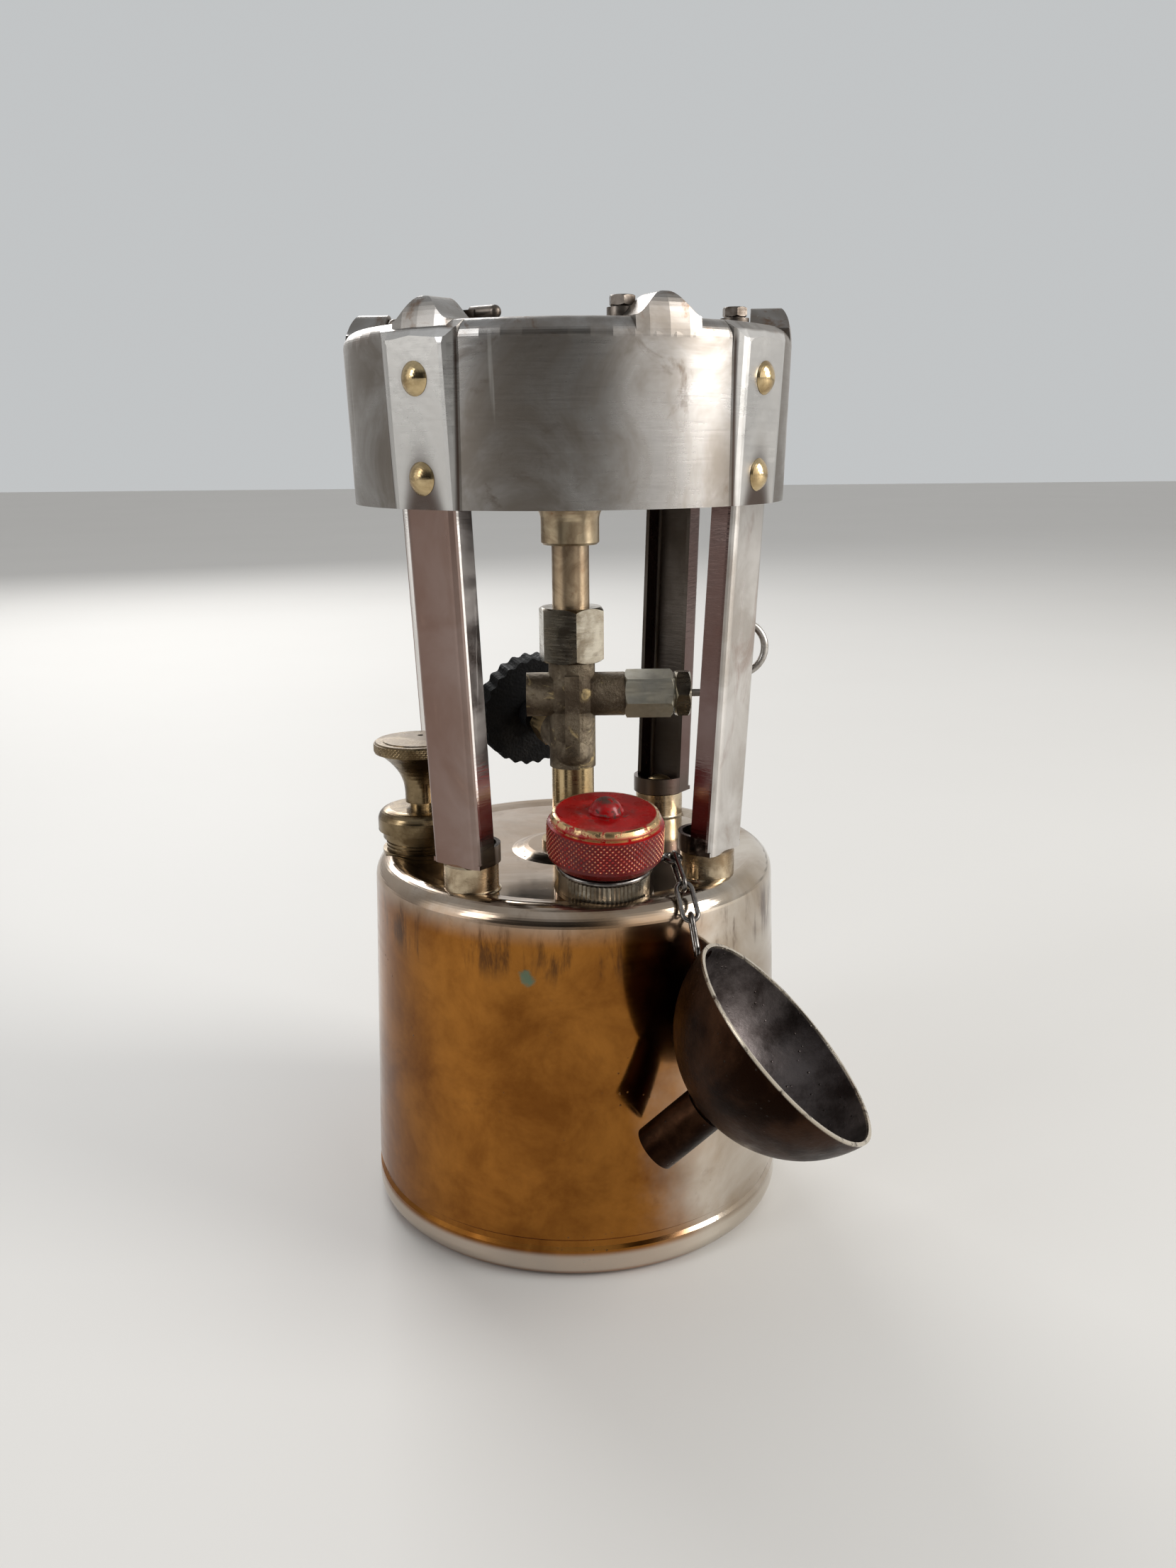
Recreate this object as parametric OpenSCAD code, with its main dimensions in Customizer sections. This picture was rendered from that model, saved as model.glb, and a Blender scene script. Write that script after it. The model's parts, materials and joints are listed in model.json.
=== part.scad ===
// Pressure spirit stove on four channel legs, with a pump, a filler cap and a funnel on a chain.
// The origin is the centre of the tank's underside. +Z is up and -Y is the front.

/* [Tank] */
// Outer radius of the tank below its shoulder
tank_r = 54; // [46:1:68]
// How much wider the tank is at its foot
tank_flare = 3; // [0:0.5:5]
// Height of the tank to the crest of its shoulder
tank_h = 98; // [80:1:125]
// Thickness of the tank sheet
tank_wall = 0.9; // [0.7:0.1:1.4]
// Radius of the rounded shoulder
shoulder_r = 5.5; // [4:0.5:7]
// Radius of the rounded bottom edge
foot_edge_r = 4.5; // [3:0.5:6]
// Height of the pressed groove above the floor
groove_z = 8.3; // [7:0.1:14]
// Depth of the pressed groove
groove_depth = 0.8; // [0.3:0.1:1.2]

/* [Legs] */
// Turn of the first leg from the front
leg_turn = -37; // [-45:1:-30]
// Clear height between the tank and the shroud
leg_gap = 92.8; // [78:0.2:115]
// Width of a leg across its web
leg_w = 15; // [12:0.5:18]
// Depth of a leg's flanges
leg_flange = 6.5; // [5:0.5:8]
// Thickness of the leg sheet
leg_wall = 1.1; // [0.8:0.1:1.4]
// Outward lean of the legs in degrees
leg_lean = 3.4; // [2:0.1:4]
// Height of the posts that the legs stand on
post_h = 7.3; // [5:0.1:10]
// Radius of the posts that the legs stand on
post_r = 6.9; // [6:0.1:7.5]

/* [Shroud] */
// Outer radius of the shroud at its lower edge
shroud_r = 54.5; // [47:0.5:68]
// Height of the shroud
shroud_h = 40.8; // [34:0.2:50]
// How much wider the shroud is at its top
shroud_flare = 1.2; // [0:0.1:2]
// Thickness of the shroud sheet
shroud_wall = 1; // [0.8:0.1:1.2]
// Height of the raised lugs above the rim
lug_h = 5.2; // [4:0.1:7]
// Width of a raised lug along the rim
lug_w = 16; // [13:0.5:19]
// Number of raised lugs
lug_count = 6; // [6]
// Reach of a pot arm from its pivot
arm_reach = 17; // [14:0.5:20]

/* [Burner] */
// Radius of the burner bowl
bowl_r = 24; // [20:0.5:29]
// Radius of the vaporizer tube
tube_r = 4.9; // [4:0.1:5.4]
// Size of the union nut across its flats
union_af = 15.9; // [15:0.1:19]
// Height of the cross of the valve body above the tank
cross_rise = 42; // [38:0.5:50]
// Radius of the control handwheel
wheel_r = 16.1; // [13:0.1:18]

/* [Filler and pump] */
// Radius of the filler cap
cap_r = 14.2; // [13:0.1:15.5]
// Distance of the filler from the centre
filler_dist = 38.5; // [34:0.5:46]
// Outward tilt of the filler in degrees
filler_tilt = 8; // [4:1:10]
// Radius of the pump knob
knob_r = 12; // [10:0.5:14]
// Distance of the pump from the centre
pump_dist = 41.5; // [36:0.5:50]
// Stroke of the pump plunger
pump_stroke = 52; // [30:1:54]

/* [Funnel] */
// Radius of the funnel's rim
funnel_r = 28.5; // [23:0.5:34]
// Depth of the funnel's bowl
funnel_depth = 25.5; // [20:0.5:28]
// Length of the spout beyond the bowl
spout_len = 17; // [12:0.5:24]

/* [Hidden] */
$fn = 96;
eps = 0.01;
// running clearance between a turning shaft and its bore
run_gap = 0.06;
// gap between pieces that move past each other
free_gap = 0.4;
// gap between pieces that are fixed to each other
seat_gap = 0.03;

panel_drop = 0.8;
panel_z = tank_h - panel_drop;
tank_foot_r = tank_r + tank_flare;
groove_h = 3.2;
bottom_r = tank_foot_r - foot_edge_r - 4;

riser_boss_h = 1.2;
riser_z = panel_z + riser_boss_h;
riser_r = 5.7;

leg_floor_z = panel_z + post_h;
shroud_z = tank_h + leg_gap;
shroud_top_z = shroud_z + shroud_h;
shroud_round = 4;
shroud_top_r = shroud_r + shroud_flare;
// the web of a leg lies against the inside of the pad half way up the shroud
pad_out = 0.9;
pad_over = 1.7;
pad_mid_z = shroud_z + shroud_h / 2;
web_mid_r = (shroud_r + shroud_top_r) / 2 + pad_out - shroud_wall - seat_gap;
leg_top_z = shroud_top_z - shroud_round - 5.5;
web_foot_r = web_mid_r - (pad_mid_z - leg_floor_z) * tan(leg_lean);
post_dist = web_foot_r - leg_w / 2 + 1.6;
rivet_zs = [shroud_z + 6.9, shroud_z + 28.5];
rivet_r = 1.9;
leg_angles = [for (i = [0:3]) leg_turn + 90 * i];
screw_r = 2.1;

lug_turn = leg_turn + 0.5;
lug_angles = [for (i = [0:lug_count - 1]) lug_turn + 360 / lug_count * i];
lip_in_r = shroud_top_r - 17.7;
lug_in_r = shroud_top_r - 10.2;
lug_flat = 0.5;
arm_eye_r = 3.5;
arm_in = lug_in_r - arm_eye_r - free_gap;
arm_side = 4.8;
arm_t = 2.2;
arm_z = shroud_top_z + free_gap;
arm_rod_r = 1.5;
arm_offset = -atan2(arm_side, arm_in);
arm_r = norm([arm_side, arm_in]);
arm_screw_r = 1.5;

cross_z = panel_z + cross_rise + 0.8;
arm_body_r = 5.85;
cross_left = 12.1;
cross_right = 14;
casting_low_z = cross_z - 19.5;
union_z = cross_z + 9;
union_h = 14.4;
spigot_r = 6.3;
collar_z = shroud_z - 11.2;
collar_r = 7.6;
bowl_low_z = shroud_z;
bowl_top_z = shroud_z + 20;
ring_in_r = bowl_r - 10;
ring_out_r = bowl_r - 3.2;
tube_top_z = collar_z + 3;

gland_af = 11.3;
gland_x = cross_right;
gland_len = 12.9;
nut_x = gland_x + gland_len + 0.5;
nut_len = 4.2;
rod_r = 1;
loop_r = 7;
loop_x = nut_x + nut_len + 12.8;
loop_z = cross_z + 12;

spindle_turn = 207;
spindle_tilt = 10;
spindle_z = cross_z - 12.8;
spindle_r = 2.1;
boss_out = 9.5;
packing_len = 6.5;
wheel_s = 23.2;
wheel_t = 5.4;

filler_turn = 11;
neck_r = 10.2;
neck_bore_r = 8.4;
neck_collar_r = 11.35;
neck_collar_h = 5;
neck_h = 12;
cap_low = 7.6;
cap_h = 12.6;
seat_h = 1.3;

pump_turn = -90;
barrel_r = 9.4;
barrel_wall = 0.8;
barrel_low_z = 24;
pump_cap_r = 11.8;
pump_cap_z = panel_z + 4.2;
pump_cap_h = 8.2;
pump_rod_r = 3;
knob_low_z = pump_cap_z + pump_cap_h + 1.4;
knob_top_z = knob_low_z + 17;
plunger_z = barrel_low_z + 3;

funnel_wall = 0.9;
funnel_turn = 82;
funnel_lift = 44;
funnel_az = 35.2;
funnel_dist = tank_r + funnel_r + 2.2;
funnel_z = tank_h - 27;
sphere_r = (funnel_r * funnel_r + funnel_depth * funnel_depth) / (2 * funnel_depth);
spout_r = 5.7;
ear_drop = 3.1;
ear_hole_r = 1.8;
ear_turn = 25;
ear_r = sqrt(sphere_r * sphere_r - pow(sphere_r - funnel_depth + ear_drop, 2));

wire_r = 0.6;
link_round = 1.9;
link_gap = 0.28;
link_turns = [1, 95.4, 189.9];
ring_wire_r = 0.7;
chain_ring_z = neck_collar_h + ring_wire_r + 0.35;
chain_ring_r = neck_r + ring_wire_r + free_gap;
eye_r = 1.9;
eye_dist = cap_r + 1.4;
eye_turn = 92;

// ---- points and frames ----

function arc(cx, cy, r, a0, a1, n) =
    [for (i = [0:n]) let (a = a0 + (a1 - a0) * i / n) [cx + r * cos(a), cy + r * sin(a)]];
function turn_z(p, a) = [p[0] * cos(a) - p[1] * sin(a), p[0] * sin(a) + p[1] * cos(a), p[2]];
function turn_x(p, a) = [p[0], p[1] * cos(a) - p[2] * sin(a), p[1] * sin(a) + p[2] * cos(a)];
function around(dist, az, z) = [dist * sin(az), -dist * cos(az), z];
function tank_side_r(z) = tank_r + tank_flare * (1 - z / (tank_h - shoulder_r));
function web_r(z) = web_foot_r + (z - leg_floor_z) * tan(leg_lean);

filler_foot = around(filler_dist, filler_turn, panel_z + seat_h);
funnel_centre = around(funnel_dist, funnel_az, funnel_z);
// a point of the tilted filler, and of the hanging funnel, in the stove's frame
function filler_point(p) = filler_foot + turn_z(turn_x(p, filler_tilt), filler_turn);
function funnel_point(p) = funnel_centre + turn_z(turn_x(p, 90 - funnel_lift), funnel_turn);

// the chain lies over the tank's shoulder, from the eye of its ring to the ear of the funnel
eye_mid = filler_point(turn_z([0, -eye_dist - eye_r, chain_ring_z], eye_turn));
ear_mid = funnel_point([ear_r * sin(ear_turn), ear_r * cos(ear_turn), -ear_drop + 0.3]);
ear_in = funnel_point([0, 0, -ear_drop - 8]) - ear_mid;
level_way = [ear_mid[0] - eye_mid[0], ear_mid[1] - eye_mid[1], 0];
chain_top = eye_mid + level_way * (eye_r - 0.97) / norm(level_way) + [0, 0, 0.53];
chain_end = ear_mid - ear_in * 1.38 / norm(ear_in) + (funnel_point([0, 0, -2.02]) - funnel_point([0, 0, 0]));
chain_rise = [2.64, 2.56];
chain_points = [
    chain_top,
    chain_top + (chain_end - chain_top) * 0.424 + [0, 0, chain_rise[0]],
    chain_top + (chain_end - chain_top) * 0.748 + [0, 0, chain_rise[1]],
    chain_end
];

module at_turn(az) {
    rotate([0, 0, az]) children();
}

module filler_frame() {
    translate(filler_foot) rotate([0, 0, filler_turn]) rotate([filler_tilt, 0, 0]) children();
}

module pump_frame() {
    translate(around(pump_dist, pump_turn, 0)) children();
}

module spindle_frame() {
    translate([0, 0, spindle_z]) rotate([0, 0, spindle_turn]) rotate([90 - spindle_tilt, 0, 0]) children();
}

module funnel_frame() {
    translate(funnel_centre) rotate([0, 0, funnel_turn]) rotate([90 - funnel_lift, 0, 0]) children();
}

// a hexagon with chamfered ends, across-flats size af, standing on z = 0
module hex_body(af, h, chamfer) {
    corner = af / sqrt(3);
    intersection() {
        cylinder(h = h, r = corner, $fn = 6);
        rotate_extrude()
            polygon([[0, 0], [corner - chamfer, 0], [corner + eps, chamfer * 0.7],
                [corner + eps, h - chamfer * 0.7], [corner - chamfer, h], [0, h]]);
    }
}

// a ring with a wavy outline
module wave_outline(r, depth, count, steps) {
    polygon([for (i = [0:count * steps - 1])
        let (a = 360 * i / (count * steps), q = r - depth * (1 - cos(count * a)) / 2)
        [q * cos(a), q * sin(a)]]);
}

// ---- tank ----

module tank_outline(inset) {
    r_foot = tank_side_r(foot_edge_r) - inset;
    r_low = tank_side_r(groove_z) - inset;
    r_high = tank_side_r(groove_z + groove_h) - inset;
    round_low = foot_edge_r - inset;
    round_high = shoulder_r - inset;
    polygon(concat(
        [[0, inset]],
        arc(tank_side_r(foot_edge_r) - foot_edge_r, foot_edge_r, round_low, -90, 0, 10),
        [[r_low, groove_z], [r_low - groove_depth, groove_z + 0.8],
            [r_high - groove_depth, groove_z + groove_h - 0.8], [r_high, groove_z + groove_h]],
        arc(tank_r - shoulder_r, tank_h - shoulder_r, round_high, 0, 90, 14),
        [[tank_r - shoulder_r - 1.5, tank_h - inset - 0.2],
            [tank_r - shoulder_r - 4.5, panel_z - inset],
            [17, panel_z - inset], [15.6, panel_z - inset + 0.3],
            [13.8, riser_z - inset - 0.2], [12.5, riser_z - inset], [0, riser_z - inset]]
    ));
}

module tank_shell() {
    color([0.72, 0.62, 0.48])
    difference() {
        union() {
            difference() {
                rotate_extrude() difference() {
                    tank_outline(0);
                    tank_outline(tank_wall);
                }
                filler_frame() translate([0, 0, -seat_gap]) cylinder(h = 10, r = neck_collar_r + 0.5);
                pump_frame() translate([0, 0, panel_z + eps]) cylinder(h = 10, r = barrel_r + 1.9);
            }
            filler_frame() translate([0, 0, -seat_h - 2.2]) cylinder(h = seat_h + 2.2 - seat_gap, r = neck_collar_r + 1);
        }
        translate([0, 0, -1]) cylinder(h = 3, r = bottom_r + seat_gap);
        translate([0, 0, panel_z - 5]) cylinder(h = 10, r = riser_r - 1.2 + seat_gap);
        filler_frame() translate([0, 0, -12]) cylinder(h = 24, r = neck_r - 0.6 + seat_gap);
        pump_frame() translate([0, 0, panel_z - 5]) cylinder(h = 10, r = barrel_r + seat_gap);
    }
}

module tank_bottom() {
    color([0.6, 0.5, 0.38])
    rotate_extrude()
        polygon([[0, 0], [bottom_r, 0], [bottom_r, 0.9], [bottom_r + 2, 0.95], [bottom_r + 2, 1.8], [0, 1.8]]);
}

module riser_pipe() {
    color([0.62, 0.52, 0.36])
    difference() {
        union() {
            translate([0, 0, riser_z]) cylinder(h = 1.6, r = riser_r + 3);
            translate([0, 0, riser_z]) cylinder(h = casting_low_z + 4 - riser_z, r = riser_r);
            translate([0, 0, riser_z - 4]) cylinder(h = 4 + eps, r = riser_r - 1.2);
        }
        translate([0, 0, riser_z - 5]) cylinder(h = 60, r = 2.6);
    }
}

module pickup_tube() {
    color([0.7, 0.58, 0.35])
    difference() {
        translate([0, 0, 5]) cylinder(h = riser_z - 1 - 5, r = 2.5);
        translate([0, 0, 4]) cylinder(h = riser_z, r = 1.7);
        translate([-4, 0, 7]) rotate([0, 90, 0]) cylinder(h = 8, r = 0.8);
    }
}

// ---- legs ----

module leg_section() {
    half = leg_w / 2;
    bend = 2;
    polygon(concat(
        arc(half - bend, -bend, bend, 90, 0, 5),
        [[half, -leg_flange], [half - leg_wall, -leg_flange]],
        arc(half - bend, -bend, bend - leg_wall, 0, 90, 5),
        arc(bend - half, -bend, bend - leg_wall, 90, 180, 5),
        [[leg_wall - half, -leg_flange], [-half, -leg_flange]],
        arc(bend - half, -bend, bend, 180, 90, 5)
    ));
}

module foot_cup() {
    cup_h = 4.6;
    intersection() {
        difference() {
            union() {
                cylinder(h = cup_h, r = leg_w / 2);
                translate([-leg_w / 2, -20, 0]) cube([leg_w, 20, leg_wall]);
            }
            translate([0, 0, leg_wall]) cylinder(h = cup_h, r = leg_w / 2 - leg_wall);
            translate([0, 0, -1]) cylinder(h = 4, r = screw_r + 0.3);
            translate([-leg_w, -20 - eps, leg_wall]) cube([2 * leg_w, 20, cup_h]);
        }
        translate([-leg_w, -(web_foot_r - post_dist) + leg_wall / 2, -1]) cube([2 * leg_w, 40, 20]);
    }
}

module leg(az) {
    color([0.74, 0.72, 0.7])
    at_turn(az)
    difference() {
        union() {
            intersection() {
                translate([0, -web_foot_r, leg_floor_z]) rotate([leg_lean, 0, 0])
                    translate([0, 0, -3]) mirror([0, 1, 0])
                        linear_extrude(leg_top_z - leg_floor_z + 8) leg_section();
                translate([-leg_w, -100, leg_floor_z]) cube([2 * leg_w, 100, leg_top_z - leg_floor_z]);
            }
            translate([0, -post_dist, leg_floor_z]) foot_cup();
        }
        for (z = rivet_zs)
            translate([0, -web_r(z) - 4, z]) rotate([-90, 0, 0]) cylinder(h = 8, r = rivet_r + seat_gap);
    }
}

module leg_posts() {
    color([0.66, 0.54, 0.34])
    difference() {
        for (az = leg_angles) at_turn(az) translate([0, -post_dist, panel_z])
            difference() {
                rotate_extrude()
                    polygon(concat([[0, 0], [post_r + 0.8, 0]], arc(post_r + 0.8, 0.8, 0.8, -100, -180, 4),
                        [[post_r, post_h - 0.4], [post_r - 0.4, post_h], [0, post_h]]));
                translate([0, 0, 1]) cylinder(h = post_h, r = screw_r + seat_gap);
            }
        rotate_extrude() tank_outline(-seat_gap);
    }
}

module foot_screws() {
    color([0.8, 0.66, 0.38])
    for (az = leg_angles) at_turn(az) translate([0, -post_dist, leg_floor_z + leg_wall])
        union() {
            translate([0, 0, -6]) cylinder(h = 6.5, r = screw_r);
            rotate_extrude() polygon(concat([[0, 0.02], [4.3, 0.02]], arc(0, -1.6, 5, 32, 90, 8)));
        }
}

// ---- shroud ----

module shroud_profile(inset, raise) {
    r0 = shroud_r - inset;
    r1 = shroud_top_r - inset;
    round_r = shroud_round - inset;
    zc = shroud_top_z - shroud_round;
    polygon(concat(
        [[0, shroud_z - eps], [r0, shroud_z - eps], [r1, zc]],
        [for (i = [1:12]) let (a = 90 * i / 12)
            [shroud_top_r - shroud_round + round_r * cos(a), zc + (round_r + raise) * sin(a)]],
        [[0, zc + round_r + raise]]
    ));
}

// the bell outline of a raised lug, seen along the radius
module lug_outline(inset) {
    half = lug_w / 2 - inset;
    high = lug_h - inset;
    polygon(concat([[-half, -8], [-half, 0]],
        [for (i = [-11:11]) let (a = 180 * max(0, abs(i) - 1) / 11)
            [half * i / 12, high * pow((1 + cos(a)) / 2, 0.85)]],
        [[half, 0], [half, -8]]));
}

module lug_bar(inset, from, to) {
    translate([0, -from, shroud_top_z - eps]) rotate([90, 0, 0]) linear_extrude(to - from) lug_outline(inset);
}

module pad_block(out, half) {
    translate([0, -web_mid_r, pad_mid_z]) rotate([leg_lean, 0, 0])
        translate([0, 0, -30]) linear_extrude(60)
            polygon(concat([[half + 3, 6]],
                [for (i = [0:4]) [half + 3 - 3.8 * i / 4, 1.3 - (out + 1.3) * sin(22.5 * i)]],
                [for (i = [4:-1:0]) [3.8 * i / 4 - half - 3, 1.3 - (out + 1.3) * sin(22.5 * i)]],
                [[-half - 3, 6]]));
}

module shroud_ring() {
    $fn = 72;
    color([0.66, 0.65, 0.63])
    difference() {
        union() {
            rotate_extrude() shroud_profile(0, 0);
            for (az = lug_angles) at_turn(az) intersection() {
                rotate_extrude() shroud_profile(0, lug_h + lug_flat);
                lug_bar(0, lug_in_r, shroud_top_r + 2);
            }
            intersection() {
                for (az = leg_angles) at_turn(az) pad_block(shroud_wall + seat_gap, leg_w / 2 + 0.9);
                translate([0, 0, shroud_z]) rotate_extrude($fn = 48)
                    polygon([[0, 0], [shroud_r + 4, 0], [shroud_r + 4, 12], [shroud_top_r + pad_over, shroud_h - shroud_round],
                        [shroud_top_r + 0.6, shroud_h - shroud_round / 2], [shroud_top_r - 2, shroud_h - 0.3], [0, shroud_h - 0.3]]);
            }
        }
        rotate_extrude() shroud_profile(shroud_wall, 0);
        translate([0, 0, shroud_z]) cylinder(h = shroud_h + 20, r = lip_in_r);
        for (az = lug_angles) at_turn(az) intersection() {
            rotate_extrude() shroud_profile(shroud_wall, lug_h + lug_flat);
            lug_bar(shroud_wall, lug_in_r - 1, shroud_top_r + 2);
        }
        for (az = leg_angles) at_turn(az) {
            intersection() {
                pad_block(seat_gap, leg_w / 2 + 0.3);
                translate([-20, -80, shroud_z - 1]) cube([40, 80, shroud_h - shroud_round - 2]);
            }
            for (z = rivet_zs)
                translate([0, -web_r(z) - 4, z]) rotate([-90, 0, 0]) cylinder(h = 8, r = rivet_r + seat_gap);
        }
        for (az = lug_angles) at_turn(az + arm_offset) translate([0, -arm_r, shroud_top_z - 4])
            cylinder(h = 8, r = arm_screw_r + seat_gap);
    }
}

module shroud_rivets() {
    color([0.78, 0.64, 0.4])
    for (az = leg_angles) for (z = rivet_zs)
        at_turn(az) translate([0, -web_r(z), z]) rotate([90 + leg_lean, 0, 0])
            translate([0, 0, shroud_wall + 3 * seat_gap]) union() {
                translate([0, 0, -4.6]) cylinder(h = 5, r = rivet_r);
                rotate_extrude() polygon(concat([[0, 0], [3.8, 0]], arc(0, -2.9, 4.8, 38, 90, 8)));
                translate([0, 0, -4.3]) cylinder(h = 1.4, r = 3);
            }
}

// a short arm that swings in over the burner about its screw
module pot_arm(az) {
    color([0.5, 0.48, 0.44])
    at_turn(az) translate([-arm_side, -arm_in, arm_z]) difference() {
        union() {
            cylinder(h = arm_t, r = arm_eye_r);
            translate([0, -1.9, 0]) cube([arm_reach - 6, 3.8, arm_t]);
            translate([arm_reach - 8, 0, arm_rod_r + 0.05]) rotate([0, 90, 0])
                cylinder(h = 8 - arm_rod_r, r = arm_rod_r);
            translate([arm_reach - arm_rod_r, 0, arm_rod_r + 0.05]) sphere(r = arm_rod_r);
        }
        translate([0, 0, -1]) cylinder(h = arm_t + 2, r = arm_screw_r + run_gap);
    }
}

module arm_screws() {
    color([0.55, 0.52, 0.47])
    for (az = lug_angles) at_turn(az + arm_offset) translate([0, -arm_r, arm_z])
        union() {
            translate([0, 0, -3]) cylinder(h = arm_t + 3.5, r = arm_screw_r);
            translate([0, 0, arm_t + 0.3]) rotate([0, 0, 18]) hex_body(5.4, 2.3, 0.5);
        }
}

// ---- burner ----

module burner_bowl() {
    lip = 1.2;
    outer = concat([[collar_r - 0.6, collar_z], [collar_r, collar_z + 0.6], [collar_r, bowl_low_z - 5]],
        arc(collar_r + 5, bowl_low_z - 5, 5, 180, 118, 6),
        [[bowl_r - 5, bowl_low_z + 3.6]],
        arc(bowl_r - 5, bowl_low_z + 8.6, 5, -80, 0, 8),
        [[bowl_r, bowl_top_z]]);
    inner = [[bowl_r - lip, bowl_top_z], [bowl_r - lip, bowl_low_z + 8.8], [bowl_r - 2.8, bowl_low_z + 5.6],
        [bowl_r - 5.4, bowl_low_z + 4.9], [collar_r + 2, bowl_low_z + 0.9], [collar_r - 1.6, bowl_low_z - 3],
        [collar_r - 1.6, collar_z + 3 + seat_gap], [tube_r + seat_gap, collar_z + 3 + seat_gap],
        [tube_r + seat_gap, collar_z]];
    color([0.6, 0.5, 0.36])
    rotate_extrude() polygon(concat(outer, inner));
}

module ring_stack(level, h) {
    translate([0, 0, bowl_top_z - 6 + level]) linear_extrude(h) children();
}

module burner_seat() {
    color([0.45, 0.4, 0.34])
    difference() {
        union() {
            translate([0, 0, bowl_top_z - 7.2]) cylinder(h = 1.2 - seat_gap, r = bowl_r - 1.2 - seat_gap);
            translate([0, 0, bowl_top_z - 7.2]) cylinder(h = 14.2, r = 4);
        }
        for (i = [0:5]) rotate([0, 0, 60 * i]) translate([9, 0, bowl_top_z - 9]) cylinder(h = 4, r = 3.2);
        translate([0, 0, bowl_top_z - 1]) cylinder(h = 10, r = 1.6 + seat_gap);
    }
}

module flat_rings() {
    color([0.42, 0.4, 0.38])
    for (level = [2.4, 5.6]) ring_stack(level, 0.8) difference() {
        circle(r = ring_out_r);
        circle(r = ring_in_r);
    }
}

module wavy_rings() {
    color([0.5, 0.47, 0.43])
    for (level = [0, 3.2, 6.4]) ring_stack(level + 0.02, 2.36) difference() {
        wave_outline(ring_out_r - 0.3, 1.6, 30, 6);
        wave_outline(ring_out_r - 1.3, 1.6, 30, 6);
    }
}

module burner_cap() {
    color([0.4, 0.37, 0.34])
    difference() {
        translate([0, 0, bowl_top_z + 2.8]) rotate_extrude()
            polygon([[0, 0], [ring_out_r + 0.6, 0], [ring_out_r + 0.6, 1], [ring_out_r - 1.4, 2.2], [8, 4.2], [0, 4.2 + eps]]);
        translate([0, 0, bowl_top_z + 2.7]) cylinder(h = 4.3, r = 4 + seat_gap);
    }
}

module burner_screw() {
    color([0.55, 0.5, 0.42])
    translate([0, 0, bowl_top_z + 7 + seat_gap]) difference() {
        union() {
            translate([0, 0, -6]) cylinder(h = 6.5, r = 1.6);
            translate([0, 0, seat_gap]) cylinder(h = 2, r = 5);
        }
        translate([-6, -0.5, 1.2]) cube([12, 1, 2]);
    }
}

module vaporizer_tube() {
    low = union_z + 7.4;
    color([0.58, 0.47, 0.34])
    difference() {
        union() {
            translate([0, 0, low]) cylinder(h = tube_top_z - low, r = tube_r);
            translate([0, 0, low]) cylinder(h = 2.4, r = spigot_r - 0.1);
        }
        translate([0, 0, low - 1]) cylinder(h = tube_top_z - low + 2, r = tube_r - 1.2);
    }
}

module jet() {
    color([0.78, 0.64, 0.36])
    translate([0, 0, tube_top_z - 4]) difference() {
        union() {
            cylinder(h = 4, r = tube_r - 1.2 - seat_gap);
            translate([0, 0, 4 + seat_gap]) hex_body(7, 3.4, 0.5);
            translate([0, 0, 3.9]) cylinder(h = 5.4, r = 2);
        }
        translate([0, 0, -1]) cylinder(h = 9, r = 1.3);
        cylinder(h = 12, r = 0.45);
    }
}

module union_nut() {
    color([0.75, 0.68, 0.5])
    difference() {
        translate([0, 0, union_z + seat_gap]) rotate([0, 0, -90 + 8.5]) hex_body(union_af, union_h, 1.3);
        translate([0, 0, union_z - 1]) cylinder(h = 11 + seat_gap, r = spigot_r + seat_gap);
        translate([0, 0, union_z + 5]) cylinder(h = union_h, r = tube_r + seat_gap);
    }
}

module valve_body() {
    color([0.55, 0.5, 0.42])
    difference() {
        union() {
            translate([0, 0, casting_low_z]) cylinder(h = union_z - casting_low_z, r = 6.2);
            translate([0, 0, union_z - eps]) cylinder(h = 7.3, r = spigot_r);
            translate([-cross_left, 0, cross_z]) rotate([0, 90, 0])
                cylinder(h = cross_left + cross_right, r = arm_body_r);
            translate([0, 0, cross_z]) sphere(r = 7.6);
            translate([0, -2.6, casting_low_z + 4.4]) sphere(r = 4.9);
            translate([-1.9, -8.1, casting_low_z + 4]) cube([3.8, 6, union_z - casting_low_z - 7]);
            spindle_frame() cylinder(h = boss_out, r = 5.1);
        }
        translate([0, 0, casting_low_z - 1]) cylinder(h = 5 + seat_gap, r = riser_r + seat_gap);
        translate([0, 0, casting_low_z]) cylinder(h = 60, r = 2.6);
        rotate([0, 90, 0]) translate([-cross_z, 0, 0]) cylinder(h = cross_right + 1, r = 3.4);
        spindle_frame() cylinder(h = boss_out + 1, r = spindle_r + run_gap);
    }
}

// ---- cleaner ----

module along_cross() {
    translate([0, 0, cross_z]) rotate([0, 90, 0]) children();
}

module cleaner_gland() {
    color([0.72, 0.66, 0.52])
    along_cross() difference() {
        union() {
            translate([0, 0, gland_x + seat_gap]) rotate([0, 0, 105]) hex_body(gland_af, gland_len, 0.9);
            translate([0, 0, gland_x - 8]) cylinder(h = 9, r = 3.4 - seat_gap);
            translate([0, 0, gland_x + gland_len - 1]) cylinder(h = 3, r = 3.9);
        }
        translate([0, 0, gland_x - 10]) cylinder(h = 40, r = rod_r + run_gap);
    }
}

module cleaner_nut() {
    color([0.8, 0.7, 0.48])
    along_cross() difference() {
        translate([0, 0, nut_x]) rotate([0, 0, 85]) hex_body(11.6, nut_len, 1.1);
        translate([0, 0, nut_x - 1]) cylinder(h = 2.6, r = 3.9 + seat_gap);
        translate([0, 0, nut_x - 1]) cylinder(h = 10, r = rod_r + run_gap);
    }
}

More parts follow.
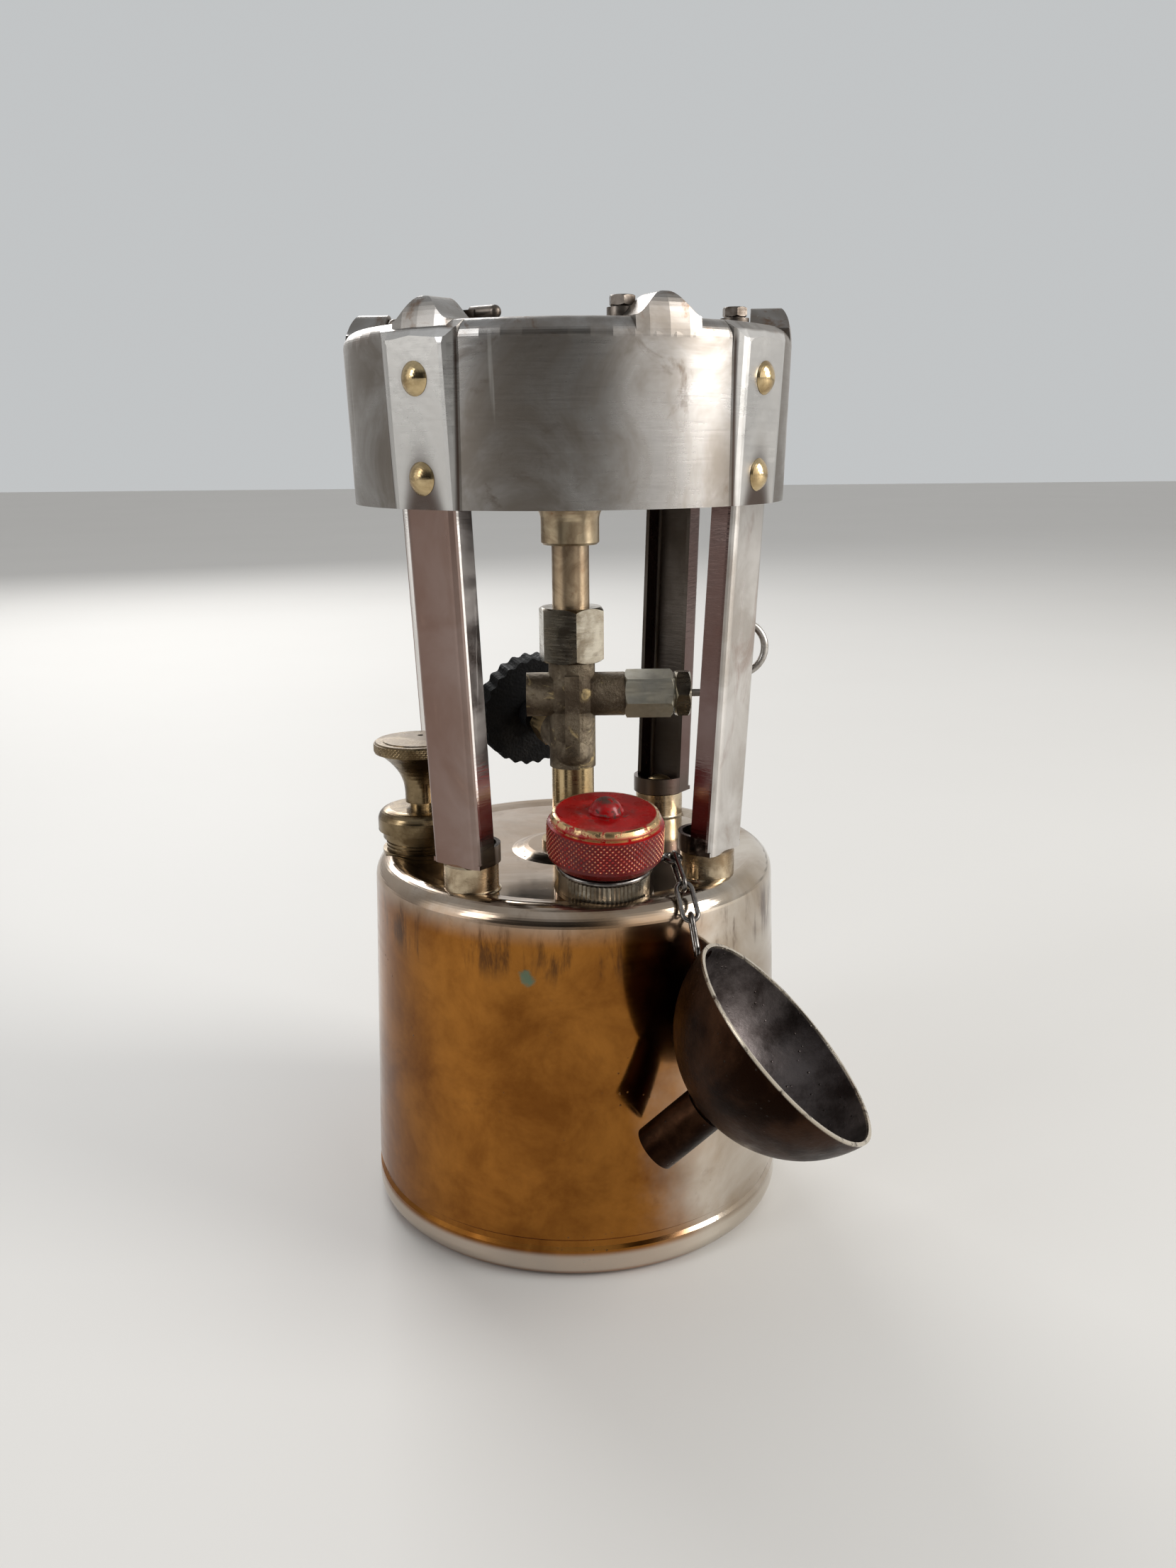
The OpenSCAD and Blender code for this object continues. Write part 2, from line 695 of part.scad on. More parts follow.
module cleaner_lever() {
    bend_r = 3;
    color([0.55, 0.52, 0.48])
    union() {
        along_cross() translate([0, 0, 3.4]) cylinder(h = loop_x - bend_r - 3.4, r = rod_r);
        along_cross() translate([0, 0.9, 2.9]) cylinder(h = 1.4, r = 1.7);
        translate([loop_x - bend_r, 0, cross_z + bend_r]) rotate([90, 0, 0]) intersection() {
            rotate_extrude() translate([bend_r, 0]) circle(r = rod_r);
            translate([0, -bend_r - 2, -2]) cube([bend_r + 2, bend_r + 2, 4]);
        }
        translate([loop_x, 0, cross_z + bend_r]) cylinder(h = loop_z - loop_r - cross_z - bend_r, r = rod_r);
        translate([loop_x, 0, loop_z]) rotate([90, 0, 0]) rotate_extrude() translate([loop_r, 0]) circle(r = rod_r);
    }
}

module cleaning_needle() {
    color([0.6, 0.6, 0.58])
    union() {
        translate([0, 0, cross_z - 4.5]) cylinder(h = tube_top_z - cross_z + 0.5, r = 0.8);
        translate([0, 0, tube_top_z - 4.1]) cylinder(h = 5.1, r = 0.25);
    }
}

// ---- control valve ----

module valve_spindle() {
    color([0.7, 0.62, 0.45])
    spindle_frame() union() {
        translate([0, 0, 3.2]) cylinder(h = wheel_s + wheel_t - 3.2, r = spindle_r);
        translate([0, 0, 1.2]) cylinder(h = 2.1, r1 = 0.5, r2 = spindle_r);
    }
}

module packing_nut() {
    color([0.72, 0.6, 0.38])
    spindle_frame() difference() {
        translate([0, 0, boss_out + seat_gap]) hex_body(9.6, packing_len, 0.9);
        cylinder(h = 40, r = spindle_r + run_gap);
    }
}

module handwheel() {
    color([0.09, 0.09, 0.1])
    spindle_frame() difference() {
        union() {
            translate([0, 0, wheel_s]) linear_extrude(wheel_t) wave_outline(wheel_r, 0.9, 26, 6);
            translate([0, 0, wheel_s - 4.5]) cylinder(h = 5, r = 5.2);
        }
        cylinder(h = 60, r = spindle_r + seat_gap);
    }
}

module handwheel_screw() {
    color([0.7, 0.6, 0.4])
    spindle_frame() difference() {
        translate([0, 0, wheel_s + wheel_t + seat_gap]) cylinder(h = 1.8, r = 3.6);
        translate([-5, -0.45, wheel_s + wheel_t + 1]) cube([10, 0.9, 3]);
    }
}

// ---- filler ----

module filler_neck() {
    teeth = 64;
    color([0.62, 0.58, 0.5])
    filler_frame() difference() {
        union() {
            linear_extrude(neck_collar_h) wave_outline(neck_collar_r, 0.35, teeth, 2);
            cylinder(h = neck_h, r = neck_r);
            translate([0, 0, -6]) cylinder(h = 7, r = neck_r - 0.6);
        }
        translate([0, 0, -8]) cylinder(h = 40, r = neck_bore_r);
    }
}

module filler_cap() {
    chamfer = 1.5;
    color([0.78, 0.08, 0.07])
    filler_frame() translate([0, 0, cap_low]) difference() {
        rotate_extrude()
            polygon([[0, 0], [cap_r - chamfer, 0], [cap_r - 0.25, chamfer], [cap_r, chamfer + 0.3],
                [cap_r, cap_h - 2.6], [cap_r - 0.9, cap_h - 2.2], [cap_r - 0.6, cap_h - 1.4],
                [cap_r - 1.2, cap_h - 0.2], [cap_r - 1.8, cap_h], [0, cap_h]]);
        translate([0, 0, -1]) cylinder(h = neck_h - cap_low + 3.3, r = neck_r + free_gap);
        cylinder(h = cap_h + 2, r = 1.8 + seat_gap);
    }
}

module cap_rivet() {
    color([0.8, 0.1, 0.08])
    filler_frame() translate([0, 0, cap_low + cap_h + seat_gap]) union() {
        rotate_extrude() polygon(concat([[0, 0], [4.3, 0], [4.3, 0.4]], arc(0, -0.6, 4.2, 20, 90, 10)));
        translate([0, 0, -7.5]) cylinder(h = 8, r = 1.8);
    }
}

module cap_gasket() {
    color([0.12, 0.12, 0.12])
    filler_frame() translate([0, 0, neck_h + free_gap]) difference() {
        cylinder(h = 1.5, r = neck_r);
        translate([0, 0, -1]) cylinder(h = 4, r = 1.8 + seat_gap);
    }
}

// ---- chain and funnel ----

module chain_ring() {
    color([0.2, 0.19, 0.18])
    filler_frame() translate([0, 0, chain_ring_z]) union() {
        rotate_extrude() translate([chain_ring_r, 0]) circle(r = ring_wire_r);
        at_turn(eye_turn) {
            translate([0, -chain_ring_r, 0]) rotate([90, 0, 0])
                cylinder(h = eye_dist - chain_ring_r, r = ring_wire_r);
            translate([0, -eye_dist - eye_r, 0])
                rotate_extrude() translate([eye_r, 0]) circle(r = ring_wire_r);
        }
    }
}

// an oblong wire link that runs from point a to point b, turned about its length
module chain_link(a, b, turn) {
    d = b - a;
    len = norm(d);
    straight = len + 2 * (wire_r + link_gap) - 2 * link_round;
    color([0.2, 0.19, 0.18])
    translate((a + b) / 2) rotate([0, acos(d[2] / len), atan2(d[1], d[0])]) rotate([0, 0, turn]) union() {
        for (side = [-1, 1]) {
            translate([side * link_round, 0, -straight / 2 - 0.05])
                cylinder(h = straight + 0.1, r = wire_r + 0.02);
            translate([0, 0, side * straight / 2]) intersection() {
                rotate([90, 0, 0]) rotate_extrude() translate([link_round, 0]) circle(r = wire_r);
                translate([-5, -5, side > 0 ? 0 : -10]) cube([10, 10, 10]);
            }
        }
    }
}

module funnel_bowl() {
    color([0.26, 0.2, 0.16])
    funnel_frame() difference() {
        translate([0, 0, sphere_r - funnel_depth]) sphere(r = sphere_r);
        translate([0, 0, sphere_r - funnel_depth]) sphere(r = sphere_r - funnel_wall);
        translate([-60, -60, 0]) cube([120, 120, 120]);
        translate([0, 0, -funnel_depth - 5]) cylinder(h = 12, r = spout_r - funnel_wall + seat_gap);
        rotate([0, 0, -ear_turn]) translate([0, ear_r + 5, -ear_drop]) rotate([90, 0, 0])
            cylinder(h = 12, r = ear_hole_r);
    }
}

module funnel_spout() {
    lip = 0.6;
    low = -funnel_depth - spout_len;
    color([0.28, 0.22, 0.18])
    funnel_frame() difference() {
        union() {
            translate([0, 0, low]) cylinder(h = spout_len - lip, r = spout_r);
            translate([0, 0, low]) cylinder(h = spout_len + 1.6, r = spout_r - funnel_wall);
        }
        translate([0, 0, low - 1]) cylinder(h = spout_len + 9, r = spout_r - 2 * funnel_wall);
    }
}

// ---- pump ----

module pump_barrel() {
    color([0.72, 0.6, 0.38])
    pump_frame() difference() {
        union() {
            translate([0, 0, barrel_low_z]) cylinder(h = pump_cap_z + 5 - barrel_low_z, r = barrel_r);
            translate([0, 0, panel_z + 2 * seat_gap]) cylinder(h = 1, r = barrel_r + 1.4);
            for (z = [panel_z + 1.6, panel_z + 2.6, panel_z + 3.6])
                translate([0, 0, z]) cylinder(h = 0.5, r = barrel_r + 0.45);
        }
        translate([0, 0, barrel_low_z - 1]) cylinder(h = 120, r = barrel_r - barrel_wall);
    }
}

module pump_cap() {
    in_r = barrel_r + seat_gap;
    color([0.68, 0.56, 0.36])
    pump_frame() translate([0, 0, pump_cap_z]) difference() {
        rotate_extrude()
            polygon(concat([[0, 0], [pump_cap_r - 1.2, 0], [pump_cap_r - 1.2, 1.8], [pump_cap_r, 2.2]],
                arc(pump_cap_r - 3.2, pump_cap_h - 3.2, 3.2, 0, 90, 8), [[0, pump_cap_h]]));
        translate([0, 0, -1]) cylinder(h = 6 + seat_gap, r = in_r);
        cylinder(h = 40, r = pump_rod_r + run_gap);
    }
}

module pump_rod() {
    color([0.7, 0.6, 0.4])
    pump_frame() translate([0, 0, plunger_z]) cylinder(h = knob_low_z + 6 - plunger_z, r = pump_rod_r);
}

module pump_knob() {
    rim_h = 3;
    flare_h = knob_top_z - rim_h - knob_low_z;
    color([0.72, 0.6, 0.38])
    pump_frame() translate([0, 0, knob_low_z]) difference() {
        rotate_extrude()
            polygon(concat([[0, 0], [4.2, 0]],
                [for (i = [0:10]) [4.2 + (knob_r - 5) * pow(i / 10, 2.4), 2 + (flare_h - 2) * i / 10]],
                [[knob_r, flare_h + 0.4], [knob_r, flare_h + rim_h - 0.5], [knob_r - 0.5, flare_h + rim_h],
                    [0, flare_h + rim_h]]));
        translate([0, 0, -1]) cylinder(h = 7 + seat_gap, r = pump_rod_r + seat_gap);
        translate([0, 0, flare_h + rim_h - 0.8]) cylinder(h = 2, r = knob_r - 2.4 + seat_gap);
    }
}

module knob_insert() {
    color([0.7, 0.6, 0.42])
    pump_frame() translate([0, 0, knob_top_z - 0.78]) difference() {
        cylinder(h = 1, r = knob_r - 2.4);
        translate([0, 4.5, -1]) cylinder(h = 4, r = 0.8);
    }
}

module pump_leather() {
    color([0.36, 0.22, 0.12])
    pump_frame() translate([0, 0, plunger_z + 1.6]) difference() {
        rotate_extrude()
            polygon([[pump_rod_r - 1, 0], [barrel_r - barrel_wall - free_gap, 0], [barrel_r - barrel_wall - free_gap, 6],
                [barrel_r - barrel_wall - 1.6, 6], [barrel_r - barrel_wall - 2.2, 1.8], [pump_rod_r - 1, 1.8]]);
        translate([0, 0, -1]) cylinder(h = 10, r = pump_rod_r + seat_gap);
    }
}

module plunger_nut() {
    color([0.72, 0.62, 0.4])
    pump_frame() translate([0, 0, plunger_z + 3.5]) difference() {
        hex_body(8.6, 2.4, 0.5);
        translate([0, 0, -1]) cylinder(h = 6, r = pump_rod_r + seat_gap);
    }
}

module check_valve() {
    color([0.72, 0.6, 0.38])
    pump_frame() difference() {
        union() {
            translate([0, 0, barrel_low_z - 10]) cylinder(h = 10 - seat_gap, r = barrel_r - 1.4);
            translate([0, 0, barrel_low_z - 2]) cylinder(h = 3.4, r = barrel_r - barrel_wall - seat_gap);
        }
        translate([0, 0, barrel_low_z - 11]) cylinder(h = 8, r = 2.6);
        translate([0, 0, barrel_low_z - 6]) cylinder(h = 10, r = 1);
    }
}

module check_ball() {
    color([0.6, 0.6, 0.6])
    pump_frame() translate([0, 0, barrel_low_z - 5.4]) sphere(r = 2.2);
}

tank_shell();
tank_bottom();
riser_pipe();
pickup_tube();
leg_posts();
foot_screws();
leg(leg_angles[0]);  // leg_front_left
leg(leg_angles[1]);  // leg_front_right
leg(leg_angles[2]);  // leg_rear_right
leg(leg_angles[3]);  // leg_rear_left
shroud_ring();
shroud_rivets();
arm_screws();
pot_arm(lug_angles[0]);  // pot_arm_1
pot_arm(lug_angles[1]);  // pot_arm_2
pot_arm(lug_angles[2]);  // pot_arm_3
pot_arm(lug_angles[3]);  // pot_arm_4
pot_arm(lug_angles[4]);  // pot_arm_5
pot_arm(lug_angles[5]);  // pot_arm_6
burner_bowl();
burner_seat();
flat_rings();
wavy_rings();
burner_cap();
burner_screw();
vaporizer_tube();
jet();
union_nut();
valve_body();
cleaner_gland();
cleaner_nut();
cleaner_lever();
cleaning_needle();
valve_spindle();
packing_nut();
handwheel();
handwheel_screw();
filler_neck();
filler_cap();
cap_rivet();
cap_gasket();
chain_ring();
chain_link(chain_points[0], chain_points[1], link_turns[0]);  // chain_link_1
chain_link(chain_points[1], chain_points[2], link_turns[1]);  // chain_link_2
chain_link(chain_points[2], chain_points[3], link_turns[2]);  // chain_link_3
funnel_bowl();
funnel_spout();
pump_barrel();
pump_cap();
pump_rod();
pump_knob();
knob_insert();
pump_leather();
plunger_nut();
check_valve();
check_ball();
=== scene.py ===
# Pressure spirit stove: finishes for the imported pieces, fine knurling, floor, light and camera.
import json
import math
import bmesh
import bpy
from mathutils import Matrix, Vector


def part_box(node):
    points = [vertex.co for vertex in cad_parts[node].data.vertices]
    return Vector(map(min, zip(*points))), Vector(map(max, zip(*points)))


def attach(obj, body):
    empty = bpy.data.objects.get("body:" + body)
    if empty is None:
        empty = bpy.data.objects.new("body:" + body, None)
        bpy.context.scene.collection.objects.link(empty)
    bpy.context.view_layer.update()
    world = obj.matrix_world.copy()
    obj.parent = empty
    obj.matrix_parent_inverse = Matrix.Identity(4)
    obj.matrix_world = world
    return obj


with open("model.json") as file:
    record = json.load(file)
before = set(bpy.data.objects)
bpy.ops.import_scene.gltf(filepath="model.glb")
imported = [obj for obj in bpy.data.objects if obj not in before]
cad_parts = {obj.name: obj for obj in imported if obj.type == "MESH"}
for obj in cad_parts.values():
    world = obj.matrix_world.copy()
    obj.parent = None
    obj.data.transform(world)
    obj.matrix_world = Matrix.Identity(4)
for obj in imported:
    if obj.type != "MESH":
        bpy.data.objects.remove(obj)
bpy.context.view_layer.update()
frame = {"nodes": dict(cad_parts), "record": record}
nodes = frame["nodes"]
record = frame["record"]
joint = {j["name"]: j for j in record["behaviour"]["joints"]}

MM = 0.001
WALL_R = 54.5 * MM       # shroud wall at its lower edge
WALL_FLARE = 1.2 * MM    # how much wider the wall is at the top
LUG_H = 5.2 * MM         # lugs above the shroud's crest
CREST_ROUND = 4 * MM     # rolled edge below the crest
RIVET_HEAD = 3.9 * MM    # rivet centre to the edge of its box
POST_H = 7 * MM          # a post's height over the tank's top
CAP_R = 14.2 * MM        # filler cap under its knurling
KNOB_R = 12 * MM         # pump knob under its knurling

# ---------------------------------------------------------------- places on the stove

def middle(node):
    low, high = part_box(node)
    return (Vector(low) + Vector(high)) / 2


def top_of(node):
    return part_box(node)[1][2]


def bottom_of(node):
    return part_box(node)[0][2]


def turn_to(axis):
    """The rotation that takes +Z to an axis."""
    return Vector((0, 0, 1)).rotation_difference(Vector(axis).normalized())


cap_foot = Vector(joint["cap_turn"]["pos_m"])
cap_axis = Vector(joint["cap_turn"]["axis"]).normalized()
cap_turned = turn_to(cap_axis)
pump_middle = middle("pump_rod")
leg_foot = middle("leg_front_left")
leg_turn = math.atan2(leg_foot.x, -leg_foot.y)


# ---------------------------------------------------------------- finishes

class Finish:
    """A node material on object coordinates, built up in layers."""

    def __init__(self, name, metallic=1.0, specular=0.5):
        self.material = bpy.data.materials.new(name)
        self.material.use_nodes = True
        self.tree = self.material.node_tree
        self.shader = self.tree.nodes["Principled BSDF"]
        self.shader.inputs["Metallic"].default_value = metallic
        self.shader.inputs["Specular IOR Level"].default_value = specular
        self.coordinate = self.tree.nodes.new("ShaderNodeTexCoord")
        self.place = self.coordinate.outputs["Object"]
        self.normal = None

    def add(self, kind, **values):
        node = self.tree.nodes.new(kind)
        for key, value in values.items():
            setattr(node, key, value)
        return node

    def join(self, value, socket):
        if isinstance(value, bpy.types.NodeSocket):
            self.tree.links.new(value, socket)
        elif isinstance(value, (tuple, list)) and len(value) == 3 and socket.type == "RGBA":
            socket.default_value = (*value, 1)
        else:
            socket.default_value = value

    def math(self, operation, first, second=0.0, clamp=False):
        node = self.add("ShaderNodeMath", operation=operation, use_clamp=clamp)
        self.join(first, node.inputs[0])
        self.join(second, node.inputs[1])
        return node.outputs[0]

    def vector(self, operation, first, second=(0, 0, 0)):
        node = self.add("ShaderNodeVectorMath", operation=operation)
        self.join(first, node.inputs[0])
        self.join(second, node.inputs[1])
        return node.outputs["Value" if operation in ("DOT_PRODUCT", "LENGTH", "DISTANCE") else "Vector"]

    def stretched(self, scale, turn=(0, 0, 0), kind="POINT", location=(0, 0, 0)):
        node = self.add("ShaderNodeMapping", vector_type=kind)
        self.join(self.place, node.inputs["Vector"])
        node.inputs["Location"].default_value = location
        node.inputs["Rotation"].default_value = turn
        node.inputs["Scale"].default_value = scale
        return node.outputs["Vector"]

    def parts_of(self, vector):
        node = self.add("ShaderNodeSeparateXYZ")
        self.join(vector, node.inputs[0])
        return node.outputs

    def noise(self, scale, detail=4.0, roughness=0.55, distortion=0.0, at=None):
        node = self.add("ShaderNodeTexNoise")
        self.join(at or self.place, node.inputs["Vector"])
        node.inputs["Scale"].default_value = scale
        node.inputs["Detail"].default_value = detail
        node.inputs["Roughness"].default_value = roughness
        node.inputs["Distortion"].default_value = distortion
        return node.outputs["Fac"]

    def cells(self, scale, feature="F1", at=None):
        node = self.add("ShaderNodeTexVoronoi", feature=feature)
        self.join(at or self.place, node.inputs["Vector"])
        node.inputs["Scale"].default_value = scale
        return node.outputs["Distance"]

    def span(self, value, low, high, to_low=0.0, to_high=1.0, smooth=True):
        """A step of value between low and high, smooth or straight."""
        node = self.add("ShaderNodeMapRange", interpolation_type="SMOOTHSTEP" if smooth else "LINEAR")
        self.join(value, node.inputs["Value"])
        for name, number in zip(("From Min", "From Max", "To Min", "To Max"), (low, high, to_low, to_high)):
            self.join(number, node.inputs[name])
        return node.outputs["Result"]

    def band(self, value, centre, half, soft):
        """One near a centre value, falling to nothing outside."""
        away = self.math("ABSOLUTE", self.math("SUBTRACT", value, centre))
        return self.span(away, half, half + soft, 1.0, 0.0)

    def ramp(self, value, *stops):
        node = self.add("ShaderNodeValToRGB")
        marks = node.color_ramp.elements
        while len(marks) < len(stops):
            marks.new(0.5)
        for mark, (position, color) in zip(marks, stops):
            mark.position = position
            mark.color = (*color, 1)
        self.join(value, node.inputs[0])
        return node.outputs["Color"]

    def mix(self, factor, first, second, blend="MIX"):
        node = self.add("ShaderNodeMix", data_type="RGBA", blend_type=blend)
        self.join(factor, node.inputs["Factor"])
        self.join(first, node.inputs[6])
        self.join(second, node.inputs[7])
        return node.outputs[2]

    def bump(self, height, strength, distance):
        node = self.add("ShaderNodeBump")
        self.join(height, node.inputs["Height"])
        node.inputs["Strength"].default_value = strength
        node.inputs["Distance"].default_value = distance
        if self.normal is not None:
            self.join(self.normal, node.inputs["Normal"])
        self.normal = node.outputs["Normal"]

    def done(self, color, roughness, **constants):
        self.join(color, self.shader.inputs["Base Color"])
        self.join(roughness, self.shader.inputs["Roughness"])
        for name, value in constants.items():
            self.join(value, self.shader.inputs[name.replace("_", " ")])
        if self.normal is not None:
            self.join(self.normal, self.shader.inputs["Normal"])
        return self.material


def aged_metal(name, light, dark, rough=(0.22, 0.45), patch=70, grime=(0.07, 0.05, 0.035), amount=0.35,
               speck=900, grain=0.10, scale=(1, 1, 1)):
    """Metal with tarnished patches, fine specks, rubbed roughness and hair scratches."""
    f = Finish(name)
    place = f.stretched(scale)
    cloud = f.noise(patch, 6, 0.6, 0.4, place)
    color = f.mix(f.span(cloud, 0.36, 0.64), dark, light)
    dirt = f.span(f.noise(patch * 3.1, 8, 0.68, 0.8, place), 0.56, 0.76, 0.0, amount)
    color = f.mix(dirt, color, grime)
    fleck = f.span(f.cells(speck, at=place), 0.02, 0.13, 0.55, 0.0)
    fleck = f.math("MULTIPLY", fleck, f.span(f.noise(patch * 2.2, 3, 0.5), 0.52, 0.66))
    color = f.mix(fleck, color, grime)
    scratch = f.noise(180, 3, 0.6, 0.2, f.stretched((1.0, 1.0, 14.0), (0.5, 0.3, 0.1)))
    rough_map = f.span(f.math("ADD", cloud, f.math("MULTIPLY", scratch, 0.5)), 0.5, 0.95, rough[1], rough[0])
    f.bump(f.noise(speck * 1.6, 4, 0.6, 0, place), grain, 0.00008)
    f.bump(scratch, grain * 0.8, 0.00006)
    return f.done(color, rough_map)


def outward_facing(f):
    """How far a face looks away from the stove's axis: 1 outwards, -1 inwards."""
    flat = f.vector("MULTIPLY", f.place, (1, 1, 0))
    return f.vector("DOT_PRODUCT", f.coordinate.outputs["Normal"], f.vector("NORMALIZE", flat))


def radius_and_height(f, place=None):
    x, y, z = f.parts_of(place or f.place)
    return f.math("POWER", f.math("ADD", f.math("MULTIPLY", x, x), f.math("MULTIPLY", y, y)), 0.5), x, y, z


def tank_plate():
    f = Finish("tank_plate")
    radius, x, y, z = radius_and_height(f)
    top = top_of("leg_posts") - POST_H
    cloud = f.noise(26, 5, 0.6, 0.6)
    # painted reflection: the table reflected over the side as a yellow-brown tint, leaving whiter plating
    # towards the right and the top
    across = f.math("ADD", x, f.math("MULTIPLY", f.noise(30, 5, 0.6), 0.03))
    below_edge = f.span(z, top * 0.90, top * 0.99, 1.0, 0.25)
    table_reflection = f.math("MULTIPLY", f.span(across, 0.030, 0.052, 1.0, 0.10), below_edge)
    plate = f.mix(f.span(cloud, 0.35, 0.68), (0.36, 0.29, 0.21), (0.60, 0.55, 0.48))
    reflection_tone = f.mix(f.span(f.noise(46, 7, 0.68, 0.3), 0.25, 0.75), (0.17, 0.058, 0.010), (0.37, 0.150, 0.028))
    color = f.mix(table_reflection, plate, reflection_tone)
    haze = f.span(f.noise(95, 9, 0.75, 0.5), 0.55, 0.80, 0.0, 0.45)
    color = f.mix(haze, color, (0.10, 0.042, 0.014))
    pits = f.span(f.cells(420), 0.03, 0.16, 0.8, 0.0)
    pits = f.math("MULTIPLY", pits, f.span(f.noise(60, 3, 0.5), 0.55, 0.68))
    color = f.mix(pits, color, (0.10, 0.065, 0.04))
    # a painted highlight round the foot, and a painted dark reflection in streaks under the shoulder
    bead_highlight = f.band(z, 4.6 * MM, 1.6 * MM, 1.8 * MM)
    color = f.mix(f.math("MULTIPLY", bead_highlight, 0.75), color, (0.66, 0.60, 0.52))
    streak = f.noise(150, 5, 0.7, 0.3, f.stretched((1, 1, 0.22)))
    under_edge = f.band(z, top - 11 * MM, 2.5 * MM, 7 * MM)
    under = f.math("MULTIPLY", under_edge, f.span(streak, 0.48, 0.66, 0.0, 0.85))
    color = f.mix(under, color, (0.075, 0.034, 0.016))
    # a verdigris spot below the shoulder and a few smaller ones round it
    tank_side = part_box("tank_shell")[1][0] - 2 * MM
    spot_at = Vector((-0.21, -0.97, 0)) * tank_side + Vector((0, 0, top - 17 * MM))
    from_spot = f.vector("SUBTRACT", f.place, tuple(spot_at))
    away = f.math("ADD", f.vector("LENGTH", from_spot), f.math("MULTIPLY", f.noise(420, 4, 0.6), 0.0035))
    spot = f.span(away, 0.0026, 0.0042, 0.9, 0.0)
    color = f.mix(spot, color, (0.13, 0.20, 0.14))
    wipe = f.noise(60, 4, 0.6, 0.3, f.stretched((1, 1, 9)))
    rough = f.span(f.math("ADD", cloud, f.math("MULTIPLY", wipe, 0.35)), 0.45, 0.85, 0.24, 0.09)
    rough = f.math("ADD", rough, f.math("MULTIPLY", f.math("ADD", spot, pits), 0.4), True)
    f.bump(f.noise(34, 2, 0.5), 0.07, 0.0012)
    f.bump(f.math("ADD", pits, spot), 0.35, 0.00015)
    f.bump(wipe, 0.05, 0.0001)
    return f.done(color, rough)


def shroud_steel():
    f = Finish("shroud_steel")
    radius, x, y, z = radius_and_height(f)
    low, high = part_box("shroud_ring")
    crest = high[2] - LUG_H
    side = f.span(z, low[2], crest - CREST_ROUND, smooth=False)
    wall = f.math("ADD", f.math("MULTIPLY", side, WALL_FLARE), WALL_R)
    proud = f.math("SUBTRACT", radius, wall)
    on_pad = f.span(proud, 0.35 * MM, 0.85 * MM)
    below_roll = f.span(z, crest - 5 * MM, crest - 3 * MM, 1.0, 0.0)
    crease_shade = f.math("MULTIPLY", f.band(proud, 0.42 * MM, 0.10 * MM, 0.20 * MM), below_roll)
    cloud = f.noise(38, 5, 0.6, 0.8)
    color = f.mix(f.span(cloud, 0.35, 0.7), (0.20, 0.175, 0.15), (0.40, 0.385, 0.37))
    stain = f.span(f.noise(52, 7, 0.66, 1.4), 0.58, 0.74, 0.0, 0.6)
    color = f.mix(stain, color, (0.095, 0.06, 0.035))
    # brown heat marks along the crest, and soot on the inside
    burnt = f.span(f.noise(120, 6, 0.7, 0.6), 0.5, 0.66, 0.0, 0.75)
    heat = f.math("MULTIPLY", f.span(z, crest - 6 * MM, crest - 1 * MM), burnt)
    color = f.mix(heat, color, (0.16, 0.09, 0.05))
    inside = f.span(outward_facing(f), -0.5, -0.1, 1.0, 0.0)
    color = f.mix(f.math("MULTIPLY", inside, 0.6), color, (0.22, 0.17, 0.13))
    # painted shade along the fold where each pad meets the wall
    color = f.mix(f.math("MULTIPLY", crease_shade, 0.85), color, (0.07, 0.045, 0.035))
    # dark halo round each rivet: distance from the rivet in the pad's own plane
    angle = f.math("SUBTRACT", f.math("ARCTAN2", x, f.math("MULTIPLY", y, -1.0)), leg_turn - math.pi * 4.25)
    quarter = f.math("SUBTRACT", f.math("MODULO", angle, math.pi / 2), math.pi / 4)
    across = f.math("MULTIPLY", quarter, WALL_R + 0.5 * MM)
    from_low = f.math("ABSOLUTE", f.math("SUBTRACT", z, bottom_of("shroud_rivets") + RIVET_HEAD))
    from_high = f.math("ABSOLUTE", f.math("SUBTRACT", z, top_of("shroud_rivets") - RIVET_HEAD))
    up = f.math("MINIMUM", from_low, from_high)
    away = f.math("POWER", f.math("ADD", f.math("MULTIPLY", across, across), f.math("MULTIPLY", up, up)), 0.5)
    halo = f.math("MULTIPLY", f.span(away, 3.9 * MM, 5.0 * MM, 0.85, 0.0), on_pad)
    color = f.mix(halo, color, (0.08, 0.055, 0.04))
    color = f.mix(f.math("MULTIPLY", on_pad, 0.7), color, (0.72, 0.71, 0.69))
    # the rolled wall takes the true normal of its cone, so that no facet edge shows in the reflections
    cone = f.add("ShaderNodeCombineXYZ")
    for value, socket in ((x, cone.inputs[0]), (y, cone.inputs[1])):
        f.join(value, socket)
    f.join(f.math("MULTIPLY", radius, -0.033), cone.inputs[2])
    on_wall = f.math("MULTIPLY", f.span(f.math("ABSOLUTE", proud), 0.18 * MM, 0.22 * MM, 1.0, 0.0),
                     f.span(outward_facing(f), 0.990, 0.996))
    on_wall = f.math("MULTIPLY", on_wall, f.span(z, crest - 4.6 * MM, crest - 4.2 * MM, 1.0, 0.0))
    geometry = f.add("ShaderNodeNewGeometry").outputs["Normal"]
    f.normal = f.vector("NORMALIZE", f.mix(on_wall, geometry, f.vector("NORMALIZE", cone.outputs[0])))
    grain = f.noise(1500, 3, 0.65, 0, f.stretched((0.05, 0.05, 1)))
    line = f.noise(330, 2, 0.5, 0, f.stretched((1, 1, 0.025)))
    line = f.span(line, 0.70, 0.76, 0.0, 0.5)
    color = f.mix(line, color, (0.52, 0.50, 0.47))
    rough = f.math("ADD", f.span(cloud, 0.35, 0.7, 0.30, 0.18), f.math("MULTIPLY", grain, 0.12))
    f.bump(f.math("MULTIPLY", f.cells(520, "SMOOTH_F1"), on_pad), 0.16, 0.0002)
    f.bump(grain, 0.22, 0.00005)
    f.bump(f.noise(40, 2, 0.5), 0.05, 0.0008)
    return f.done(color, rough)


